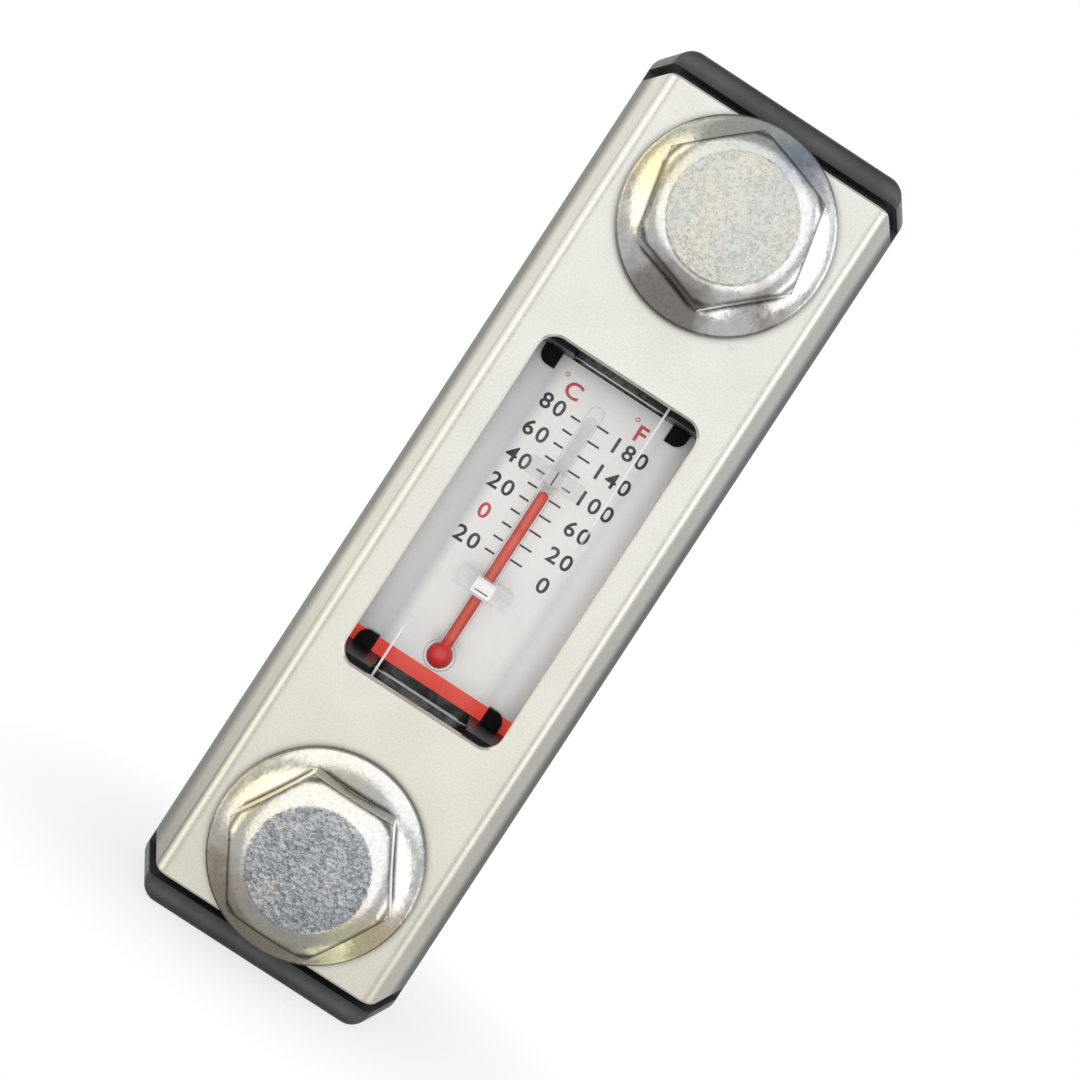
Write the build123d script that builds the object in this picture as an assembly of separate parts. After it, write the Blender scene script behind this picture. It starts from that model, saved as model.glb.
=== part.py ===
"""Tank level gauge: a clear tube with a thermometer, held by two hollow bolts.

X runs across the gauge, Y into the tank and Z up. The origin lies on the tank wall,
midway between the two bolts. A depth is measured back from the cover's front face.
"""
import os
from math import sqrt

from build123d import *

# Whole gauge
bolt_spacing = 80.0
end_reach = 14.5
body_depth = 22.0

# Front cover: folded aluminium sheet with slanted sides
cover_depth = 14.4
cover_base_width = 33.5
cover_front_width = 27.4
sheet = 1.2
shoulder_radius = 2.0
window_width = 19.8
window_margin = 19.3
window_corner = 2.0
edge_break = 0.25

# End blocks: one black moulding, used at both ends
block_shows = 0.65
block_rear_gap = 0.6
lip_length = 2.6
lip_gap = 1.2
lip_drop = 2.2
lip_corner = 2.25
lip_round = 1.1
groove_seat = 0.5
groove_depth = 5.0
rear_round = 0.8
fit_gap = 0.1

# Lugs of the blocks that hold the scale plate down
lug_gap = 14.8
lug_width = 2.3
lug_reach = 2.05
lug_thickness = 1.2
lug_corner = 1.3

# Sight tube: clear, square in section with rounded corners
tube_width = 12.0
tube_wall = 1.0
tube_corner = 1.3
tube_bore_corner = 0.6
tube_seat = 4.45
tube_axis_depth = 8.2
tube_edge = 0.2

# Scale plate
plate_width = 24.0
plate_seat = 3.45
plate_thickness = 0.6
plate_space = 0.6

# Hollow bolts
hex_across_flats = 17.0
head_height = 8.3
head_chamfer_diameter = 13.9
head_chamfer_slope = 0.58
head_chamfer_bulge = 0.35
flange_diameter = 23.5
flange_rim = 0.9
flange_height = 3.0
flange_dish = 0.25
neck_diameter = 8.4
thread_diameter = 10.0
thread_lead_in = 1.0
neck_taper = 0.8
stud_reach = 13.0
oil_bore_diameter = 4.2
cross_hole_diameter = 3.2
drill_point = 1.2
upper_hex_turn = 42.4
lower_hex_turn = 0.0

# Ways and pockets in the blocks
bolt_hole_diameter = 10.6
oil_way_diameter = 5.0
socket_relief = 1.2

# Rubber rings
head_seal_section = 2.4
wall_seal_section = 2.6
wall_seal_bore = 12.0
tube_seal_thickness = 1.6
tube_seal_land = 1.7
tube_seal_edge = 0.3
seal_gap = 0.05

# Thermometer
stem_diameter = 1.8
stem_bore = 1.3
stem_length = 32.6
stem_tip = 1.4
bulb_diameter = 3.7
bulb_wall = 0.35
bulb_lift = 4.45
liquid_column = 21.5
liquid_gap = 0.02
thermometer_offset = -0.6
collar_width = 7.1
collar_clearance = 0.2
collar_corner = 1.4
collar_height = 2.1
collar_edge = 0.3
upper_collar_lift = 23.3
lower_collar_lift = 9.0

# Sizes that follow from the driving ones
side_slope = (cover_base_width - cover_front_width) / 2 / cover_depth
side_stretch = sqrt(1 + side_slope**2)
block_front = sheet + fit_gap
block_step = cover_depth + fit_gap
block_rear = body_depth - block_rear_gap
bolt_height = bolt_spacing / 2
window_length = bolt_spacing - 2 * window_margin
block_inner = window_length / 2 - block_shows
block_outer = bolt_height + end_reach
lip_start = block_outer - lip_length
cover_length = 2 * (lip_start - lip_gap)
groove_start = cover_length / 2 - groove_seat
hex_across_corners = 2 * hex_across_flats / sqrt(3)
tube_socket_width = tube_width + 2 * fit_gap
tube_bore_width = tube_width - 2 * tube_wall
plate_depth = tube_axis_depth + tube_width / 2 + plate_space
head_seal_bore = neck_diameter + 2 * fit_gap
head_seal_space = head_seal_bore + 2 * head_seal_section + 2 * fit_gap
wall_seal_space = wall_seal_bore + 2 * wall_seal_section + 2 * fit_gap
tube_end = block_inner + tube_seat
plate_end = block_inner + plate_seat
socket_floor = tube_end + tube_seal_thickness + 2 * seal_gap
bulb_height = bulb_lift - block_inner
stem_top = bulb_height + stem_length
collar_depth = tube_bore_width - 2 * collar_clearance
beyond = 1.0


def at_depth(depth):
    """The Y of a plane that lies this deep behind the cover's front face."""
    return depth - body_depth


def half_width(depth, inset):
    """Half the width between the slanted sides at a depth, each side moved in by inset."""
    return cover_front_width / 2 + side_slope * depth - inset * side_stretch


def mirrored_face(right_side):
    """A face across the gauge from the points of its right side, listed from front to back."""
    left_side = [(-x, y) for x, y in reversed(right_side)]
    return make_face(Polyline(*right_side, *left_side, close=True))


def shouldered_face(inset, front, back):
    """The cover's section moved in by inset, with its rounded shoulders at the front."""
    right_side = [
        (half_width(front, inset), at_depth(front)),
        (half_width(back, inset), at_depth(back)),
    ]
    return shouldered(mirrored_face(right_side), inset)


def shouldered(face, inset):
    """The face with its two front corners rounded to match the cover's shoulders."""
    shoulders = face.vertices().group_by(Axis.Y)[0]
    return fillet(shoulders, shoulder_radius - inset)


def between(face, low, high):
    """The solid that a section makes between two heights."""
    return Pos(0, 0, low) * extrude(face, high - low)


def round_bar(diameter, front, back, height=0.0):
    """A round bar along Y between two depths, at a height."""
    bar = Cylinder(diameter / 2, back - front)
    return Pos(0, at_depth((front + back) / 2), height) * Rot(90, 0, 0) * bar


def upright_bar(diameter, low, high):
    """A round bar along Z on the tube's axis, between two heights."""
    bar = Cylinder(diameter / 2, high - low)
    return Pos(0, at_depth(tube_axis_depth), (low + high) / 2) * bar


def upright_square(width, corner, low, high):
    """A square bar with rounded corners along Z on the tube's axis, between two heights."""
    section = RectangleRounded(width, width, corner)
    return Pos(0, at_depth(tube_axis_depth), low) * extrude(section, high - low)


def block(width, front, back, low, high):
    """A box centred on X between two depths and two heights."""
    middle = Pos(0, at_depth((front + back) / 2), (low + high) / 2)
    return middle * Box(width, back - front, high - low)


def turned_over(shape):
    """The same piece at the gauge's other end, turned half round about Y."""
    return Rot(0, 180, 0) * shape


def front_cover():
    """The folded cover with its window, its bolt holes and lightly broken edges."""
    outside = shouldered_face(0, 0, cover_depth)
    inside = shouldered_face(sheet, sheet, cover_depth + beyond)
    half_length = cover_length / 2
    cover = between(outside, -half_length, half_length)
    cover -= between(inside, -half_length - beyond, half_length + beyond)
    ends = cover.edges().group_by(Axis.Z)
    cover = chamfer(outer_end_edges(ends[0] + ends[-1]), edge_break)
    cover -= window_opening()
    for height in (-bolt_height, bolt_height):
        cover -= round_bar(head_seal_space, -beyond, sheet + beyond, height)
    return cover


def outer_end_edges(edges):
    """Of the edges round the cover's two ends, those of the outer surface's flat front."""
    front = at_depth(0)
    return [edge for edge in edges if abs(edge.center().Y - front) < edge_break]


def window_opening():
    """The cutter of the window, a little wider at the front face."""
    outline = RectangleRounded(window_width, window_length, window_corner)
    cutter = extrude(Plane.XZ.offset(-at_depth(sheet + beyond)) * outline, sheet + 2 * beyond)
    wide = RectangleRounded(
        window_width + 2 * edge_break, window_length + 2 * edge_break, window_corner + edge_break
    )
    mouth = loft([
        Plane.XZ.offset(-at_depth(edge_break)) * outline,
        Plane.XZ.offset(-at_depth(0)) * wide,
    ])
    return cutter + mouth


def end_block():
    """The upper block: a core inside the cover, a full-width base and the lip past the cover."""
    base_half = cover_base_width / 2
    core_side = [
        (half_width(block_front, block_front), at_depth(block_front)),
        (half_width(block_step, block_front), at_depth(block_step)),
        (base_half, at_depth(block_step)),
        (base_half, at_depth(block_rear)),
    ]
    lip_side = [
        (half_width(lip_drop, 0), at_depth(lip_drop)),
        (base_half, at_depth(cover_depth)),
        (base_half, at_depth(block_rear)),
    ]
    core_face = shouldered(mirrored_face(core_side), block_front)
    body = between(core_face, block_inner, lip_start)
    body += rounded_lip(between(mirrored_face(lip_side), lip_start, block_outer))
    body = fillet(body.edges().group_by(Axis.Y)[-1], rear_round)
    body += plate_lugs()
    groove = block(2 * cover_base_width, 0, groove_depth, groove_start, lip_start)
    return body - oil_ways() - plate_slot() - groove


def rounded_lip(lip):
    """The lip with round outer corners and a soft front edge."""
    end_edges = lip.edges().group_by(Axis.Z)[-1]
    lip = fillet(end_edges.filter_by(Axis.X, reverse=True), lip_corner)
    front_edges = lip.edges().group_by(Axis.Z)[-1].group_by(Axis.Y)[0]
    return fillet(front_edges, lip_round)


def plate_lugs():
    """The two lugs that reach over the scale plate, one at each side of the tube."""
    tip = block_inner - lug_reach
    root = block_inner + beyond
    inner_side = lug_gap / 2
    outer_side = inner_side + lug_width
    outline = make_face(Polyline(
        (inner_side, tip),
        (outer_side, tip),
        (outer_side, root),
        (inner_side, root),
        close=True,
    ))
    outer_tip = outline.vertices().group_by(Axis.Y)[0].sort_by(Axis.X)[-1]
    outline = fillet(outer_tip, lug_corner)
    back = plate_depth - fit_gap / 2
    lug = Pos(0, at_depth(back), 0) * Rot(90, 0, 0) * extrude(outline, lug_thickness)
    return lug + mirror(lug, Plane.YZ)


def oil_ways():
    """The tube's socket, the bolt's hole with its ring seats, and the way between them."""
    socket = tube_socket()
    way = upright_bar(oil_way_diameter, block_inner, bolt_height)
    hole = round_bar(bolt_hole_diameter, 0, body_depth, bolt_height)
    head_seat = round_bar(
        head_seal_space, 0, head_seal_section + 2 * seal_gap, bolt_height
    )
    wall_seat = round_bar(
        wall_seal_space, body_depth - wall_seal_section - seal_gap, body_depth, bolt_height
    )
    return socket + way + hole + head_seat + wall_seat


def tube_socket():
    """The square socket of the tube, open to the front where it shows in the window."""
    corner = tube_corner + fit_gap
    socket = upright_square(tube_socket_width, corner, block_inner - beyond, socket_floor)
    relief_top = block_inner + socket_relief
    relief = block(tube_socket_width, 0, tube_axis_depth, block_inner - beyond, relief_top)
    return socket + relief


def plate_slot():
    """The slot that takes the end of the scale plate."""
    back = plate_depth + plate_thickness + fit_gap / 2
    return block(
        plate_width + 2 * fit_gap,
        plate_depth - fit_gap / 2,
        back,
        block_inner - beyond,
        plate_end + fit_gap,
    )


def sight_tube():
    """The clear tube, open at both ends, with lightly rounded end edges."""
    tube = upright_square(tube_width, tube_corner, -tube_end, tube_end)
    tube -= upright_square(
        tube_bore_width, tube_bore_corner, -tube_end - beyond, tube_end + beyond
    )
    levels = tube.edges().group_by(Axis.Z)
    return fillet(levels[0] + levels[-1], tube_edge)


def scale_plate():
    """The flat plate behind the tube that carries the scales."""
    back = plate_depth + plate_thickness
    plate = block(plate_width, plate_depth, back, -plate_end, plate_end)
    return chamfer(plate.edges().filter_by(Axis.Y), edge_break)


def bolt_head():
    """The hexagon with its turned chamfer, standing on a coned flange, along +Z."""
    prism = extrude(RegularPolygon(hex_across_flats / 2, 6, major_radius=False), head_height)
    corner_radius = hex_across_corners / 2 + edge_break
    top_radius = head_chamfer_diameter / 2
    shoulder = head_height - (corner_radius - top_radius) * head_chamfer_slope
    middle = (
        (corner_radius + top_radius) / 2, (shoulder + head_height) / 2 + head_chamfer_bulge
    )
    turned_side = (
        Polyline(
            (top_radius, head_height), (0, head_height), (0, 0),
            (corner_radius, 0), (corner_radius, shoulder),
        )
        + ThreePointArc((corner_radius, shoulder), middle, (top_radius, head_height))
    )
    turned = revolve(make_face(Plane.XZ * turned_side), Axis.Z)
    return (prism & turned) + bolt_flange()


def bolt_flange():
    """The coned flange, slightly dished, on its flat rim."""
    rim_radius = flange_diameter / 2
    top_radius = hex_across_flats / 2
    middle = ((rim_radius + top_radius) / 2, (flange_rim + flange_height) / 2 - flange_dish)
    section = (
        Polyline(
            (top_radius, flange_height), (0, flange_height), (0, 0),
            (rim_radius, 0), (rim_radius, flange_rim),
        )
        + ThreePointArc((rim_radius, flange_rim), middle, (top_radius, flange_height))
    )
    return revolve(make_face(Plane.XZ * section), Axis.Z)


def hollow_bolt(hex_turn):
    """A hollow bolt at the upper hole: head, neck, stud, and the oil bore with its cross holes."""
    head = Rot(0, 0, hex_turn) * bolt_head()
    bolt = Pos(0, at_depth(0), bolt_height) * Rot(90, 0, 0) * head
    bolt += round_bar(neck_diameter, 0, body_depth, bolt_height)
    bolt += bolt_stud()
    bolt -= oil_bore()
    return bolt


def bolt_stud():
    """The threaded end at its full diameter, tapered at its start and its tip."""
    length = block_rear_gap + neck_taper + stud_reach
    stud = Cylinder(thread_diameter / 2, length)
    ends = stud.edges().filter_by(GeomType.CIRCLE).sort_by(Axis.Z)
    stud = chamfer(ends[-1], thread_lead_in)
    ends = stud.edges().filter_by(GeomType.CIRCLE).sort_by(Axis.Z)
    stud = chamfer(ends[0], neck_taper)
    return Pos(0, stud_reach - length / 2, bolt_height) * Rot(-90, 0, 0) * stud


def oil_bore():
    """The bore from the stud's tip to the cross holes, with its drill point."""
    end = body_depth + stud_reach + beyond
    bore = round_bar(oil_bore_diameter, tube_axis_depth, end, bolt_height)
    point = Rot(-90, 0, 0) * Cone(0, oil_bore_diameter / 2, drill_point)
    bore += Pos(0, at_depth(tube_axis_depth - drill_point / 2), bolt_height) * point
    cross = Cylinder(cross_hole_diameter / 2, neck_diameter + 2 * beyond)
    centre = Pos(0, at_depth(tube_axis_depth), bolt_height)
    return bore + centre * cross + centre * Rot(0, 90, 0) * cross


def ring(bore, section, depth, height):
    """A rubber ring about a bolt, its section's middle at a depth."""
    shape = Torus((bore + section) / 2, section / 2)
    return Pos(0, at_depth(depth), height) * Rot(90, 0, 0) * shape


def head_seal():
    """The ring under a bolt's flange, round its neck."""
    return ring(head_seal_bore, head_seal_section, head_seal_section / 2 + seal_gap, bolt_height)


def wall_seal():
    """The ring round a stud that seals its block to the tank wall."""
    return ring(wall_seal_bore, wall_seal_section, body_depth - wall_seal_section / 2, bolt_height)


def tube_seal():
    """The square ring between the tube's end and the floor of its socket."""
    low = tube_end + seal_gap
    high = low + tube_seal_thickness
    inner_width = tube_width - 2 * tube_seal_land
    seal = upright_square(tube_width, tube_corner, low, high)
    seal -= upright_square(inner_width, tube_bore_corner, low - beyond, high + beyond)
    levels = seal.edges().group_by(Axis.Z)
    return fillet(levels[0] + levels[-1], tube_seal_edge)


def thermometer_place(height=0.0):
    """A place on the thermometer's axis inside the tube."""
    return Pos(thermometer_offset, at_depth(tube_axis_depth), height)


def capillary(diameter, low, high):
    """An upright rod on the thermometer's axis with a round top."""
    rod = Cylinder(diameter / 2, high - diameter / 2 - low)
    middle = (low + high - diameter / 2) / 2
    return Pos(0, 0, middle) * rod + Pos(0, 0, high - diameter / 2) * Sphere(diameter / 2)


def thermometer_glass():
    """The glass stem and its bulb, hollow all the way up to the sealed tip."""
    glass = capillary(stem_diameter, bulb_height, stem_top)
    glass += Pos(0, 0, bulb_height) * Sphere(bulb_diameter / 2)
    glass -= capillary(stem_bore, bulb_height, stem_top - stem_tip)
    glass -= Pos(0, 0, bulb_height) * Sphere(bulb_diameter / 2 - bulb_wall)
    return thermometer_place() * glass


def thermometer_liquid():
    """The red liquid that fills the bulb and stands in the bore."""
    liquid_top = bulb_height + liquid_column
    liquid = capillary(stem_bore - 2 * liquid_gap, bulb_height, liquid_top)
    liquid += Pos(0, 0, bulb_height) * Sphere(bulb_diameter / 2 - bulb_wall - liquid_gap)
    return thermometer_place() * liquid


def thermometer_collar(lift):
    """A clear collar on the stem, this far above the bulb, that bears on the tube's two flats."""
    collar = extrude(RectangleRounded(collar_width, collar_depth, collar_corner), collar_height)
    levels = collar.edges().group_by(Axis.Z)
    collar = chamfer(levels[0] + levels[-1], collar_edge)
    hole = Cylinder(stem_diameter / 2 + fit_gap / 2, 2 * collar_height + beyond)
    return thermometer_place(bulb_height + lift - collar_height / 2) * (collar - hole)


def all_parts():
    """Every piece of the gauge by its name."""
    return {
        "front_cover": front_cover(),
        "upper_end_block": end_block(),
        "lower_end_block": turned_over(end_block()),
        "sight_tube": sight_tube(),
        "scale_plate": scale_plate(),
        "thermometer_glass": thermometer_glass(),
        "thermometer_liquid": thermometer_liquid(),
        "upper_thermometer_collar": thermometer_collar(upper_collar_lift),
        "lower_thermometer_collar": thermometer_collar(lower_collar_lift),
        "upper_hollow_bolt": hollow_bolt(upper_hex_turn),
        "lower_hollow_bolt": turned_over(hollow_bolt(lower_hex_turn)),
        "upper_head_seal": head_seal(),
        "lower_head_seal": turned_over(head_seal()),
        "upper_wall_seal": wall_seal(),
        "lower_wall_seal": turned_over(wall_seal()),
        "upper_tube_seal": tube_seal(),
        "lower_tube_seal": turned_over(tube_seal()),
    }


os.makedirs("parts", exist_ok=True)
for name, shape in all_parts().items():
    export_step(shape, f"parts/{name}.step")
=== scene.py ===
"""Tank level gauge: finishes, printed scales, bolts, studio and camera.

Lengths are in metres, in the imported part's frame: X to the right, Y into the tank, Z up.
A named pair of lengths says where a tone starts to change and where the change ends.
"""
from math import cos, pi, radians, sin, tau
from typing import NamedTuple

import bmesh
import bpy
from mathutils import Matrix, Vector

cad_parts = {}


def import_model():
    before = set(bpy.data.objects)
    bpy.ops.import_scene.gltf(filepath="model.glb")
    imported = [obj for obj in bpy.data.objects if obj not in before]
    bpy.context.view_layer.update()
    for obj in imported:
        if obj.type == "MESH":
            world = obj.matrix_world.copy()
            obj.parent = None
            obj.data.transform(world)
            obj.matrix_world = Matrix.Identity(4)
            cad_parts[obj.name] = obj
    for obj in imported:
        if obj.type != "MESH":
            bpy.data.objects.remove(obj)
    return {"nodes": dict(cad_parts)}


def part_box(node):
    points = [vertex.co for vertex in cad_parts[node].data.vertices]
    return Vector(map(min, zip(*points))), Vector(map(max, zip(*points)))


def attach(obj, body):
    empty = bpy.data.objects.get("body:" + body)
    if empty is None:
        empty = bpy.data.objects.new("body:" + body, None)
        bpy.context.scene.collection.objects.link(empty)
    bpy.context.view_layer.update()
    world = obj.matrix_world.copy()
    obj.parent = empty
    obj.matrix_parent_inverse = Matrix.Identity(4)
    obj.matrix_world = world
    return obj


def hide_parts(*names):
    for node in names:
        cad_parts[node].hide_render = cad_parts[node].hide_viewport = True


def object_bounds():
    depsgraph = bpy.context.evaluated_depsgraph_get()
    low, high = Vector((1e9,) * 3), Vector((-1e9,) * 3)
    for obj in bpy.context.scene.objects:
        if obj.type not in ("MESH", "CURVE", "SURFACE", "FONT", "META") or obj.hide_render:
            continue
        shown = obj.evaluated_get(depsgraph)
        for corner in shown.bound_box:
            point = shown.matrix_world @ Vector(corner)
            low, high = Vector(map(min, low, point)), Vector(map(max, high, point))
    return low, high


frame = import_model()
cad_low, cad_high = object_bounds()
nodes = frame["nodes"]

MM = 0.001
WHITE = (1.0, 1.0, 1.0)

# ---------------------------------------------------------------- places read from the frame
plate_low, plate_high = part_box("scale_plate")
bolt_low, bolt_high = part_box("upper_hollow_bolt")
block_low, block_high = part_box("upper_end_block")
COVER_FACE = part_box("front_cover")[0].y
TUBE_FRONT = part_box("sight_tube")[0].y
PLATE_FACE = plate_low.y
HEAD_TOP = bolt_low.y
BOLT_HEIGHT = (bolt_low.z + bolt_high.z) / 2
FLANGE_RADIUS = (bolt_high.x - bolt_low.x) / 2
LIP_FACE = block_low.y
GAUGE_END = block_high.z


# ---------------------------------------------------------------- ways to build a finish
NOISE_LOW = 0.3
NOISE_HIGH = 0.7
CREASE_BLUR = 0.5
MOST_COVER = 0.95


class Finish:
    """A material with one Principled shader and short ways to build its nodes."""

    def __init__(self, name, colour, roughness, metallic=0.0):
        self.material = bpy.data.materials.new(name)
        self.material.use_nodes = True
        self.tree = self.material.node_tree
        self.shader = self.tree.nodes["Principled BSDF"]
        self.output = self.tree.nodes["Material Output"]
        self.set("Base Color", (*colour, 1.0))
        self.set("Roughness", roughness)
        self.set("Metallic", metallic)
        self.place = self.node("ShaderNodeTexCoord").outputs["Object"]

    # Sockets and nodes
    def set(self, socket, value):
        self.shader.inputs[socket].default_value = value

    def feed(self, socket, source):
        """Drive one of the shader's sockets from a node."""
        self.link(source, self.shader.inputs[socket])

    def node(self, kind, **settings):
        made = self.tree.nodes.new(kind)
        for key, value in settings.items():
            setattr(made, key, value)
        return made

    def link(self, source, target):
        self.tree.links.new(source, target)

    def fill(self, socket, value):
        """Give a node's socket a number, a colour or another node's result."""
        if isinstance(value, (int, float)):
            socket.default_value = value
        elif isinstance(value, tuple):
            socket.default_value = (*value, 1.0)
        else:
            self.link(value, socket)

    # Arithmetic
    def maths(self, operation, *values):
        """One step of arithmetic on values or numbers."""
        made = self.node("ShaderNodeMath", operation=operation)
        for socket, value in zip(made.inputs, values):
            self.fill(socket, value)
        return made.outputs["Value"]

    def plus(self, first, second):
        return self.maths("ADD", first, second)

    def minus(self, first, second):
        return self.maths("SUBTRACT", first, second)

    def times(self, product, *factors):
        for factor in factors:
            product = self.maths("MULTIPLY", product, factor)
        return product

    def larger(self, first, second):
        return self.maths("MAXIMUM", first, second)

    def smaller(self, first, second):
        return self.maths("MINIMUM", first, second)

    def away(self, value, middle=0.0):
        """How far a value lies from a middle, on either side."""
        return self.maths("ABSOLUTE", self.minus(value, middle))

    def span(self, value, low, high, out_low=0.0, out_high=1.0):
        """A value moved from one span to another, held at its ends."""
        made = self.node("ShaderNodeMapRange")
        for socket, number in (
            ("Value", value), ("From Min", low), ("From Max", high), ("To Min", out_low), ("To Max", out_high)
        ):
            self.fill(made.inputs[socket], number)
        return made.outputs["Result"]

    def within(self, value, full, none):
        """One up to the first limit, falling to none at the second."""
        return self.span(value, full, none, 1.0, 0.0)

    # Places on the gauge
    def axis(self, name):
        """One of the object coordinates."""
        made = self.node("ShaderNodeSeparateXYZ")
        self.link(self.place, made.inputs["Vector"])
        return made.outputs[name]

    def facing(self, name):
        """How far the surface faces along one axis, either way."""
        made = self.node("ShaderNodeSeparateXYZ")
        self.link(self.node("ShaderNodeTexCoord").outputs["Normal"], made.inputs["Vector"])
        return self.away(made.outputs[name])

    def round_bolt(self, height):
        """(clockwise turn from the top as a share of a turn, distance from the axis) at a bolt."""
        across = self.axis("X")
        up = self.minus(self.axis("Z"), height)
        turn = self.times(self.maths("ARCTAN2", across, up), 1.0 / tau)
        distance = self.maths("SQRT", self.plus(self.times(across, across), self.times(up, up)))
        return self.plus(turn, 1.0), distance

    def hexagon(self, height, turn):
        """How far out a point lies, measured square to the nearest flat of a hexagon head."""
        reach = 0.0
        for pair_of_flats in range(3):
            angle = turn + pair_of_flats * tau / 6
            made = self.node("ShaderNodeVectorMath", operation="DOT_PRODUCT")
            made.inputs[1].default_value = (sin(angle), 0.0, cos(angle))
            self.link(self.place, made.inputs[0])
            reach = self.larger(reach, self.away(made.outputs["Value"], height * cos(angle)))
        return reach

    # Patterns and colours
    def noise(self, size, detail=3.0, distortion=0.0):
        """Noise whose blotches are about this size."""
        made = self.node("ShaderNodeTexNoise")
        made.inputs["Scale"].default_value = 1.0 / size
        made.inputs["Detail"].default_value = detail
        made.inputs["Distortion"].default_value = distortion
        self.link(self.place, made.inputs["Vector"])
        return made.outputs["Fac"]

    def cells(self, size):
        """Distance to the nearest cell's middle, for cells of about this size."""
        made = self.node("ShaderNodeTexVoronoi")
        made.inputs["Scale"].default_value = 1.0 / size
        self.link(self.place, made.inputs["Vector"])
        return made.outputs["Distance"]

    def ramp(self, factor, *stops):
        """A colour ramp from (place, colour) pairs."""
        made = self.node("ShaderNodeValToRGB")
        elements = made.color_ramp.elements
        while len(elements) < len(stops):
            elements.new(0.5)
        for element, (place, colour) in zip(elements, stops):
            element.position = place
            element.color = (*colour, 1.0)
        self.link(factor, made.inputs["Fac"])
        return made.outputs["Color"]

    def two_tone(self, noise, low, high):
        """A colour that follows a noise from one tone to the other."""
        return self.ramp(noise, (NOISE_LOW, low), (NOISE_HIGH, high))

    def varied(self, noise, low, high):
        """A value that follows a noise from one number to the other."""
        return self.span(noise, NOISE_LOW, NOISE_HIGH, low, high)

    def blend(self, factor, first, second, kind="MIX"):
        """Two colours mixed by a factor."""
        made = self.node("ShaderNodeMix", data_type="RGBA", blend_type=kind)
        for socket, value in ((made.inputs[0], factor), (made.inputs[6], first), (made.inputs[7], second)):
            self.fill(socket, value)
        return made.outputs[2]

    def stained(self, colour, *stains):
        """A colour with others laid over it, each darkening the last."""
        for stain in stains:
            colour = self.blend(1.0, colour, stain, "MULTIPLY")
        return colour

    def shaded(self, colour, factor):
        """A colour made darker or lighter by a factor."""
        scaled = self.node("ShaderNodeVectorMath", operation="SCALE")
        self.link(colour, scaled.inputs["Vector"])
        self.link(factor, scaled.inputs["Scale"])
        return scaled.outputs["Vector"]

    def crease_shade(self, distance, darkest, only_local=True, clear=0.85):
        """Painted shade: darker where other surfaces stand within a distance."""
        made = self.node("ShaderNodeAmbientOcclusion", samples=8, only_local=only_local)
        made.inputs["Distance"].default_value = distance
        return self.span(made.outputs["AO"], clear - CREASE_BLUR, clear, darkest, 1.0)

    def bump(self, height, depth, strength):
        """Relief of this depth."""
        made = self.node("ShaderNodeBump")
        made.inputs["Strength"].default_value = strength
        made.inputs["Distance"].default_value = depth
        self.link(height, made.inputs["Height"])
        self.feed("Normal", made.outputs["Normal"])

    # Shaders
    def mixed(self, share, first, second):
        """Two shaders mixed by a share of the second."""
        made = self.node("ShaderNodeMixShader")
        self.link(share, made.inputs[0])
        self.link(first.outputs[0], made.inputs[1])
        self.link(second.outputs[0], made.inputs[2])
        return made

    def surface(self, shader):
        self.link(shader.outputs[0], self.output.inputs["Surface"])

    def veil(self, cover, through="ShaderNodeBsdfTransparent"):
        """The view passes straight through except for this share of it, and so does all light.

        A refraction shader that bends nothing does this through any number of walls.
        """
        straight = self.node(through)
        if "IOR" in straight.inputs:
            straight.inputs["IOR"].default_value = 1.0
            straight.inputs["Roughness"].default_value = 0.0
        clear = self.node("ShaderNodeBsdfTransparent")
        path = self.node("ShaderNodeLightPath")
        seen = self.minus(1.0, path.outputs["Is Shadow Ray"])
        share = self.times(self.smaller(cover, MOST_COVER), seen)
        self.surface(self.mixed(share, self.mixed(seen, clear, straight), self.shader))


# ---------------------------------------------------------------- cover and blocks
WARM_REACH = (-45 * MM, 20 * MM)
# The cover's painted shade falls within the next three spans.
SIDE_SHADE = (COVER_FACE + 6.5 * MM, COVER_FACE + 11.0 * MM)
LEFT_SIDE = (-14.2 * MM, -13.4 * MM)
LOWER_END = (-48 * MM, -12 * MM)
# The lips' painted highlight falls within the next three spans.
LIP_INNER_EDGE = (GAUGE_END - 2.6 * MM, GAUGE_END - 1.6 * MM)
LIP_OUTER_EDGE = (GAUGE_END - 1.4 * MM, GAUGE_END - 0.2 * MM)
LIP_FRONT = (LIP_FACE + 0.8 * MM, LIP_FACE + 1.6 * MM)
# The nylon's painted shade behind the window falls within the next three spans.
VIEW_WIDTH = (10.4 * MM, 10.6 * MM)
VIEW_LENGTH = (26 * MM, 27 * MM)
VIEW_DEPTH = (PLATE_FACE - 0.2 * MM, PLATE_FACE)


def anodised_aluminium():
    """Satin cover sheet: pale warm silver with a fine speckle, faint handling marks and painted shade."""
    finish = Finish("anodised_aluminium", (0.86, 0.86, 0.82), 0.38, 0.85)
    speckle = finish.noise(0.22 * MM, 4.0)
    base = finish.ramp(speckle, (0.35, (0.83, 0.825, 0.765)), (0.62, (0.93, 0.925, 0.87)))
    cloud = finish.two_tone(finish.noise(6 * MM), (0.94, 0.94, 0.93), WHITE)
    scuffs = finish.ramp(finish.noise(1.1 * MM, 2.0, 2.0), (0.66, WHITE), (0.74, (0.93, 0.92, 0.90)))
    warmth = finish.blend(finish.within(finish.axis("Z"), *WARM_REACH), WHITE, (1.0, 0.98, 0.90))
    cover = finish.stained(base, cloud, scuffs, warmth)
    finish.feed("Base Color", finish.shaded(cover, cover_shade(finish)))
    finish.feed("Roughness", finish.varied(speckle, 0.28, 0.38))
    finish.bump(speckle, 0.006 * MM, 0.5)
    return finish.material


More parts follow.
